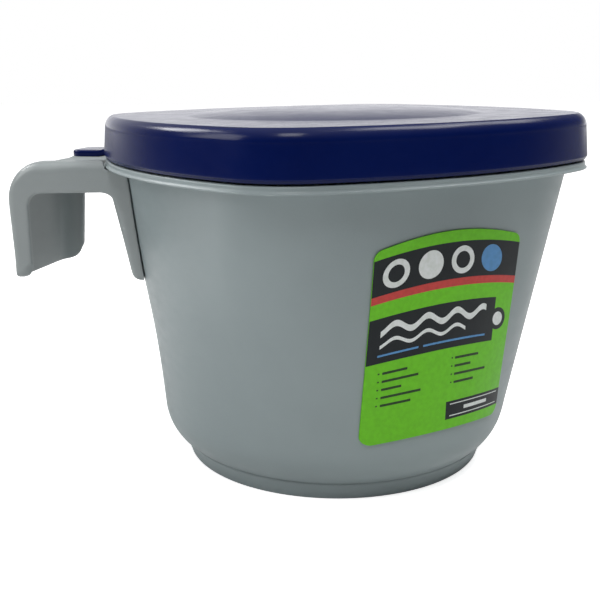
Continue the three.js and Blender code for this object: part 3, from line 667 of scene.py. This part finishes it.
# Sheet as a grid over its width and height, narrower by a quarter circle at its corners. Its rows
# sag towards both sides by the square of the way across, as on a sheet cut for a tapered wall. It
# is doubled for its thickness and closed round its edge, and each face takes its field's colour.
def makeLabel():
    l = label
    fields = printedFields()
    across = sheetLines(-1, 1, [e for field in fields for e in field[1:3]], l["halfWidth"])
    down = sheetLines(0, 1, [e for field in fields for e in field[3:5]], l["height"])
    corner, height = l["corner"], l["height"]
    soft = corner / height * (1 - np.cos(np.linspace(0, math.pi / 2, 8)))
    down = np.unique(np.round(np.concatenate([down, soft, 1 - soft]), 5))
    drop = down * height
    short = np.maximum(corner - np.minimum(drop, height - drop), 0)
    half = l["halfWidth"] - corner + np.sqrt(np.maximum(corner ** 2 - short ** 2, 0))
    flatX = half[:, None] * across
    flatDrop = np.broadcast_to(drop[:, None], flatX.shape)
    arch = l["archTop"] + (l["archFoot"] - l["archTop"]) * down
    z = l["topZ"] - (drop * l["fall"])[:, None] - arch[:, None] * across ** 2
    front = labelPoint(l["shift"] + flatX, z, l["gap"] + l["thickness"])
    back = labelPoint(l["shift"] + flatX, z, l["gap"])

    rows, columns = flatX.shape
    quads = gridFaces(rows, columns, False)
    count, lastRow = rows * columns, (rows - 1) * columns
    turn = np.concatenate([np.arange(columns), np.arange(1, rows) * columns + columns - 1,
                           lastRow + np.arange(columns - 2, -1, -1),
                           np.arange(rows - 2, 0, -1) * columns])
    after = np.roll(turn, -1)
    rim = np.stack([turn, after, after + count, turn + count], 1)
    faces = np.vstack([quads[:, ::-1], quads + count, rim])[:, ::-1]
    points = np.vstack([front.reshape(-1, 3), back.reshape(-1, 3)])
    piece = meshFrom("label_sheet", points, faces.tolist(), False)

    i, j = np.divmod(np.arange(len(quads)), columns - 1)
    midDown, midAcross = (down[i] + down[i + 1]) / 2, (across[j] + across[j + 1]) / 2
    colour = np.tile((*l["green"], 1), (len(faces), 1))
    for ink, left, right, top, bottom in fields:
        held = (midAcross > left) & (midAcross < right) & (midDown > top) & (midDown < bottom)
        colour[:len(quads)][held, :3] = l[ink]
    # map of the sheet: a thousandth for each millimetre across and down
    sheetMap = np.tile(np.stack([flatX, flatDrop], -1).reshape(-1, 2) * mm, (2, 1))
    uvs = piece.data.uv_layers.new(name="sheet")
    loopPoints = np.empty(len(piece.data.loops), int)
    piece.data.loops.foreach_get("vertex_index", loopPoints)
    uvs.data.foreach_set("uv", sheetMap[loopPoints].ravel())
    layer = piece.data.color_attributes.new("print", "FLOAT_COLOR", "CORNER")
    layer.data.foreach_set("color", np.repeat(colour, faces.shape[1], axis=0).ravel())
    return piece


tubShell = makeTub()
lidShell = makeLid()
lidTab = makeTab()
print("tub and lid made", len(tubShell.data.polygons), len(lidShell.data.polygons))
handleShell = makeHandle()
print("handle made", len(handleShell.data.polygons))
labelSheet = makeLabel()
print("label made", len(labelSheet.data.polygons))

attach(tubShell, "container")
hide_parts("tub")
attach(lidShell, "lid")
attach(lidTab, "lid")
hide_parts("lid")
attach(handleShell, "container")
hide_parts("handle")
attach(labelSheet, "container")
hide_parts("label")


# Finishes: colours are linear, scales are repeats per metre, depths are millimetres
greyFinish = {
    "colour": (0.252, 0.303, 0.312), "second": (0.286, 0.341, 0.350), "patch": 22.0,
    "grain": 2600.0, "grainDepth": 0.010, "waviness": 90.0, "wavinessDepth": 0.025,
    "roughLow": 0.32, "roughHigh": 0.42, "specular": 0.5,
    # pale colour for convex edges and its share: a painted highlight
    "edgeHighlight": (0.52, 0.56, 0.56), "edgeHighlightShare": 0.45,
}
handleFinish = dict(greyFinish, colour=(0.262, 0.292, 0.295), second=(0.298, 0.329, 0.332))
navyFinish = {
    "colour": (0.0016, 0.0068, 0.068), "second": (0.0024, 0.0092, 0.080), "patch": 26.0,
    "grain": 2300.0, "grainDepth": 0.010, "waviness": 70.0, "wavinessDepth": 0.008,
    "roughLow": 0.19, "roughHigh": 0.23, "specular": 0.2,
    # pale colour for convex edges and its share: a painted highlight
    "edgeHighlight": (0.05, 0.07, 0.20), "edgeHighlightShare": 0.2,
}
filmFinish = {
    "grain": 1500.0, "grainDepth": 0.006, "waviness": 55.0, "wavinessDepth": 0.02,
    "roughLow": 0.30, "roughHigh": 0.42, "specular": 0.25,
    "ink": 700.0, "inkSpan": (0.35, 0.7), "inkTint": (0.86, 0.88, 0.84),
    "gloss": 240.0, "glossSpan": (0.3, 0.7),
}
# what both plastics share: the span of each noise that counts, and the level strokes of polish
plastic = {
    "clouds": (0.35, 0.65), "specks": (0.3, 0.7), "speckShare": 0.35, "polish": (0.3, 0.7),
    # spans of the painted highlight: how convex an edge must be, and the patches it falls in
    "convex": (0.53, 0.62), "highlightPatches": (0.4, 0.6), "highlightPatchesLeast": 0.3,
    "strokes": (160, 160, 420), "strokeTurn": (0.25, 0.15, 0),
}


def newMaterial(name):
    material = bpy.data.materials.new(name)
    material.use_nodes = True
    return material, material.node_tree.nodes, material.node_tree.links


# Fractal noise at a number of repeats per metre
def noiseNode(nodes, links, vector, scale, detail, name):
    noise = nodes.new("ShaderNodeTexNoise")
    noise.label = name
    noise.inputs["Scale"].default_value = scale
    noise.inputs["Detail"].default_value = detail
    links.new(vector, noise.inputs["Vector"])
    return noise.outputs["Fac"]


# A value's span stretched to another, and held at its ends
def rangeNode(nodes, links, value, fromLow, fromHigh, toLow, toHigh):
    node = nodes.new("ShaderNodeMapRange")
    for key, number in (("From Min", fromLow), ("From Max", fromHigh),
                        ("To Min", toLow), ("To Max", toHigh)):
        node.inputs[key].default_value = number
    links.new(value, node.inputs["Value"])
    return node.outputs["Result"]


def multiplyNode(nodes, links, a, b):
    node = nodes.new("ShaderNodeMath")
    node.operation = "MULTIPLY"
    links.new(a, node.inputs[0])
    if isinstance(b, (int, float)):
        node.inputs[1].default_value = b
    else:
        links.new(b, node.inputs[1])
    return node.outputs[0]


# One where the value is within a reach of its middle, else zero
def nearNode(nodes, links, value, middle, within):
    node = nodes.new("ShaderNodeMath")
    node.operation = "COMPARE"
    node.inputs[1].default_value = middle
    node.inputs[2].default_value = within
    links.new(value, node.inputs[0])
    return node.outputs[0]


def mixColour(nodes, links, share, a, b):
    node = nodes.new("ShaderNodeMix")
    node.data_type = "RGBA"
    links.new(share, node.inputs[0])
    for socket, colour in ((node.inputs[6], a), (node.inputs[7], b)):
        if isinstance(colour, tuple):
            socket.default_value = (*colour, 1)
        else:
            links.new(colour, socket)
    return node.outputs[2]


# Bump whose height is noise, from repeats per metre and a depth in millimetres
def bumpNode(nodes, links, vector, scale, depth, detail, name):
    bump = nodes.new("ShaderNodeBump")
    bump.inputs["Strength"].default_value = 1.0
    bump.inputs["Distance"].default_value = depth * mm
    links.new(noiseNode(nodes, links, vector, scale, detail, name), bump.inputs["Height"])
    return bump


# Grain and slow waves of a moulded or printed face, one bump on the other
def surfaceBumps(nodes, links, vector, finish, shader):
    waves = bumpNode(nodes, links, vector, finish["waviness"], finish["wavinessDepth"], 2, "waves")
    grain = bumpNode(nodes, links, vector, finish["grain"], finish["grainDepth"], 3, "grain")
    links.new(waves.outputs["Normal"], grain.inputs["Normal"])
    links.new(grain.outputs["Normal"], shader.inputs["Normal"])


# Satin moulded plastic: cloudy colour, specks, a painted highlight that makes convex edges paler in
# patches, and a polish that varies in faint level strokes
def satinPlastic(name, finish):
    material, nodes, links = newMaterial(name)
    shader = nodes["Principled BSDF"]
    shader.inputs["Specular IOR Level"].default_value = finish["specular"]
    vector = nodes.new("ShaderNodeTexCoord").outputs["Object"]
    clouds = noiseNode(nodes, links, vector, finish["patch"], 4, "clouds")
    specks = noiseNode(nodes, links, vector, finish["grain"], 2, "specks")
    cloudShare = rangeNode(nodes, links, clouds, *plastic["clouds"], 0, 1)
    base = mixColour(nodes, links, cloudShare, finish["colour"], finish["second"])
    speckShare = rangeNode(nodes, links, specks, *plastic["specks"], 0, plastic["speckShare"])
    base = mixColour(nodes, links, speckShare, base, finish["second"])
    # painted highlight: convex edges, found by pointiness, turn paler in patches
    pointiness = nodes.new("ShaderNodeNewGeometry").outputs["Pointiness"]
    convex = rangeNode(nodes, links, pointiness, *plastic["convex"], 0, finish["edgeHighlightShare"])
    patchy = rangeNode(nodes, links, clouds, *plastic["highlightPatches"], plastic["highlightPatchesLeast"], 1)
    base = mixColour(nodes, links, multiplyNode(nodes, links, convex, patchy), base, finish["edgeHighlight"])
    links.new(base, shader.inputs["Base Color"])
    stretch = nodes.new("ShaderNodeMapping")
    stretch.inputs["Scale"].default_value = plastic["strokes"]
    stretch.inputs["Rotation"].default_value = plastic["strokeTurn"]
    links.new(vector, stretch.inputs["Vector"])
    polish = noiseNode(nodes, links, stretch.outputs["Vector"], 1.0, 5, "polish")
    rough = rangeNode(nodes, links, polish, *plastic["polish"],
                      finish["roughLow"], finish["roughHigh"])
    links.new(rough, shader.inputs["Roughness"])
    surfaceBumps(nodes, links, vector, finish, shader)
    return material


# Round marks: each is its ink where the place on the sheet is within its radius
def addDiscs(nodes, links, place, base):
    for ink, across, down, radius in label["discs"]:
        away = nodes.new("ShaderNodeVectorMath")
        away.operation = "DISTANCE"
        away.inputs[1].default_value = (across * mm, down * mm, 0)
        links.new(place, away.inputs[0])
        held = nearNode(nodes, links, away.outputs["Value"], 0.0, radius * mm)
        base = mixColour(nodes, links, held, base, label[ink])
    return base


# Waves: each is its ink where the place down, plus a sine of the place across, is near its line
def addWaves(nodes, links, place, base):
    split = nodes.new("ShaderNodeSeparateXYZ")
    links.new(place, split.inputs["Vector"])
    for ink, across, halfLength, down, height, halfWide in label["waves"]:
        swing = nodes.new("ShaderNodeMath")
        swing.operation = "SINE"
        links.new(multiplyNode(nodes, links, split.outputs["X"], label["waveTurn"] / mm),
                  swing.inputs[0])
        level = nodes.new("ShaderNodeMath")
        level.operation = "MULTIPLY_ADD"
        level.inputs[1].default_value = height * mm
        links.new(swing.outputs[0], level.inputs[0])
        links.new(split.outputs["Y"], level.inputs[2])
        onLine = nearNode(nodes, links, level.outputs[0], down * mm, halfWide * mm)
        inReach = nearNode(nodes, links, split.outputs["X"], across * mm, halfLength * mm)
        held = multiplyNode(nodes, links, onLine, inReach)
        base = mixColour(nodes, links, held, base, label[ink])
    return base


# Printed film: the fields' colours come from the sheet's own attribute, the round marks and waves
# from its map, and the ink is a little uneven
def printedFilm(name, finish):
    material, nodes, links = newMaterial(name)
    shader = nodes["Principled BSDF"]
    shader.inputs["Specular IOR Level"].default_value = finish["specular"]
    vector = nodes.new("ShaderNodeTexCoord").outputs["Object"]
    fields = nodes.new("ShaderNodeAttribute")
    fields.attribute_name = "print"
    place = nodes.new("ShaderNodeUVMap")
    place.uv_map = "sheet"
    base = addDiscs(nodes, links, place.outputs["UV"], fields.outputs["Color"])
    base = addWaves(nodes, links, place.outputs["UV"], base)
    uneven = nodes.new("ShaderNodeMix")
    uneven.data_type = "RGBA"
    uneven.blend_type = "MULTIPLY"
    uneven.inputs[7].default_value = (*finish["inkTint"], 1)
    ink = noiseNode(nodes, links, vector, finish["ink"], 3, "ink")
    links.new(rangeNode(nodes, links, ink, *finish["inkSpan"], 0, 1), uneven.inputs[0])
    links.new(base, uneven.inputs[6])
    links.new(uneven.outputs[2], shader.inputs["Base Color"])
    gloss = noiseNode(nodes, links, vector, finish["gloss"], 3, "gloss")
    rough = rangeNode(nodes, links, gloss, *finish["glossSpan"],
                      finish["roughLow"], finish["roughHigh"])
    links.new(rough, shader.inputs["Roughness"])
    surfaceBumps(nodes, links, vector, finish, shader)
    return material


def dress(piece, material):
    piece.data.materials.clear()
    piece.data.materials.append(material)


greyPlastic = satinPlastic("grey_plastic", greyFinish)
handlePlastic = satinPlastic("handle_plastic", handleFinish)
navyPlastic = satinPlastic("navy_plastic", navyFinish)
labelFilm = printedFilm("label_film", filmFinish)
dress(tubShell, greyPlastic)
dress(handleShell, handlePlastic)
dress(lidShell, navyPlastic)
dress(lidTab, navyPlastic)
dress(labelSheet, labelFilm)
print("finishes made")

# Camera at the photograph's place, in the frame's millimetres
view = {
    "place": (74.25, -291.20, 122.64),
    "forward": (-0.2587, 0.9333, -0.2492), "right": (0.9646, 0.2634, -0.0149),
    "focal": 919.73, "principal": (272.11, 306.38), "frame": 600, "sensor": 36.0,
}


def makeCamera():
    data = bpy.data.cameras.new("camera")
    camera = bpy.data.objects.new("camera", data)
    bpy.context.scene.collection.objects.link(camera)
    forward = Vector(view["forward"]).normalized()
    right = Vector(view["right"])
    right = (right - forward * right.dot(forward)).normalized()
    up = right.cross(forward)
    turn = Matrix((right, up, -forward)).transposed()
    camera.matrix_world = Matrix.Translation(Vector(view["place"]) * mm) @ turn.to_4x4()
    data.sensor_width = view["sensor"]
    data.lens = view["focal"] / view["frame"] * view["sensor"]
    data.shift_x = (view["frame"] / 2 - view["principal"][0]) / view["frame"]
    data.shift_y = (view["principal"][1] - view["frame"] / 2) / view["frame"]
    data.clip_start = 0.01
    bpy.context.scene.camera = camera


makeCamera()

stage = {
    "floorSize": 6.0, "floorTone": 0.8, "floorRough": 0.9, "floorGlow": 0.75,
    "aim": (0, 0, 0.05),
    # each lobe of the studio's light: direction, how narrow, how low, strength
    "lobes": [
        ((0.0, 1.0, 0.0), 3.0, 5.0, 1.90),
        ((0.0, 0.0, 1.0), 3.0, 0.0, 1.0),
        ((-0.7, 0.7, 0.1), 8.0, 0.0, 0.55),
    ],
    # each lamp: name, place, side and power, all aimed at the same point
    "lamps": [
        ("lamp_left", (-0.9, -0.35, 0.55), 0.5, 3.2),
        ("lamp_top", (0.46, 0.20, 0.95), 0.35, 3.0),
        ("lamp_right", (0.49, 0.52, 0.80), 0.35, 1.4),
        ("lamp_back", (-0.80, 0.24, 0.66), 0.25, 2.4),
        ("lamp_high", (0.10, -0.62, 1.05), 0.4, 4.2),
    ],
}


# World of soft lobes: each adds its strength times a power of the cosine to its direction, times a
# power of one less the height, which keeps it near the horizon. What the camera itself sees of it
# is white.
def makeWorld():
    world = bpy.data.worlds.new("studio")
    world.use_nodes = True
    nodes, links = world.node_tree.nodes, world.node_tree.links
    background = nodes["Background"]
    direction = nodes.new("ShaderNodeTexCoord").outputs["Generated"]
    height = nodes.new("ShaderNodeSeparateXYZ")
    links.new(direction, height.inputs["Vector"])
    belowTop = rangeNode(nodes, links, height.outputs["Z"], 0, 1, 1, 0)
    total = None
    for axis, narrow, low, strength in stage["lobes"]:
        facing = nodes.new("ShaderNodeVectorMath")
        facing.operation = "DOT_PRODUCT"
        facing.inputs[1].default_value = Vector(axis).normalized()
        links.new(direction, facing.inputs[0])
        cosine = rangeNode(nodes, links, facing.outputs["Value"], 0, 1, 0, 1)
        shares = []
        for value, power in ((cosine, narrow), (belowTop, low)):
            share = nodes.new("ShaderNodeMath")
            share.operation = "POWER"
            share.inputs[1].default_value = power
            links.new(value, share.inputs[0])
            shares.append(share.outputs[0])
        added = nodes.new("ShaderNodeMath")
        added.operation = "MULTIPLY_ADD"
        added.inputs[1].default_value = strength
        added.inputs[2].default_value = 0.0
        links.new(multiplyNode(nodes, links, *shares), added.inputs[0])
        if total is not None:
            links.new(total, added.inputs[2])
        total = added.outputs[0]
    path = nodes.new("ShaderNodeLightPath")
    pick = nodes.new("ShaderNodeMix")
    pick.data_type = "FLOAT"
    pick.inputs[3].default_value = 1.0
    links.new(path.outputs["Is Camera Ray"], pick.inputs[0])
    links.new(total, pick.inputs[2])
    links.new(pick.outputs[0], background.inputs["Color"])
    background.inputs["Strength"].default_value = 1.0
    bpy.context.scene.world = world


# Floor that the camera sees as white, with the object's shadow kept as a slight tone
def floorPaper():
    material, nodes, links = newMaterial("floor_paper")
    shader = nodes["Principled BSDF"]
    shader.inputs["Base Color"].default_value = (*[stage["floorTone"]] * 3, 1)
    shader.inputs["Roughness"].default_value = stage["floorRough"]
    cameraRay = nodes.new("ShaderNodeLightPath").outputs["Is Camera Ray"]
    shader.inputs["Emission Color"].default_value = (1, 1, 1, 1)
    links.new(multiplyNode(nodes, links, cameraRay, stage["floorGlow"]),
              shader.inputs["Emission Strength"])
    return material


def makeStage():
    half = stage["floorSize"] / 2
    corners = [(-half, -half, 0), (half, -half, 0), (half, half, 0), (-half, half, 0)]
    mesh = bpy.data.meshes.new("floor")
    mesh.from_pydata(corners, [], [(0, 1, 2, 3)])
    floor = bpy.data.objects.new("floor", mesh)
    bpy.context.scene.collection.objects.link(floor)
    dress(floor, floorPaper())
    for name, place, size, power in stage["lamps"]:
        data = bpy.data.lights.new(name, "AREA")
        data.size = size
        data.energy = power
        lamp = bpy.data.objects.new(name, data)
        lamp.location = place
        towards = Vector(stage["aim"]) - Vector(place)
        lamp.rotation_euler = towards.to_track_quat("-Z", "Y").to_euler()
        bpy.context.scene.collection.objects.link(lamp)
    makeWorld()


makeStage()
print("stage made")
bpy.context.scene.view_settings.view_transform = "Standard"
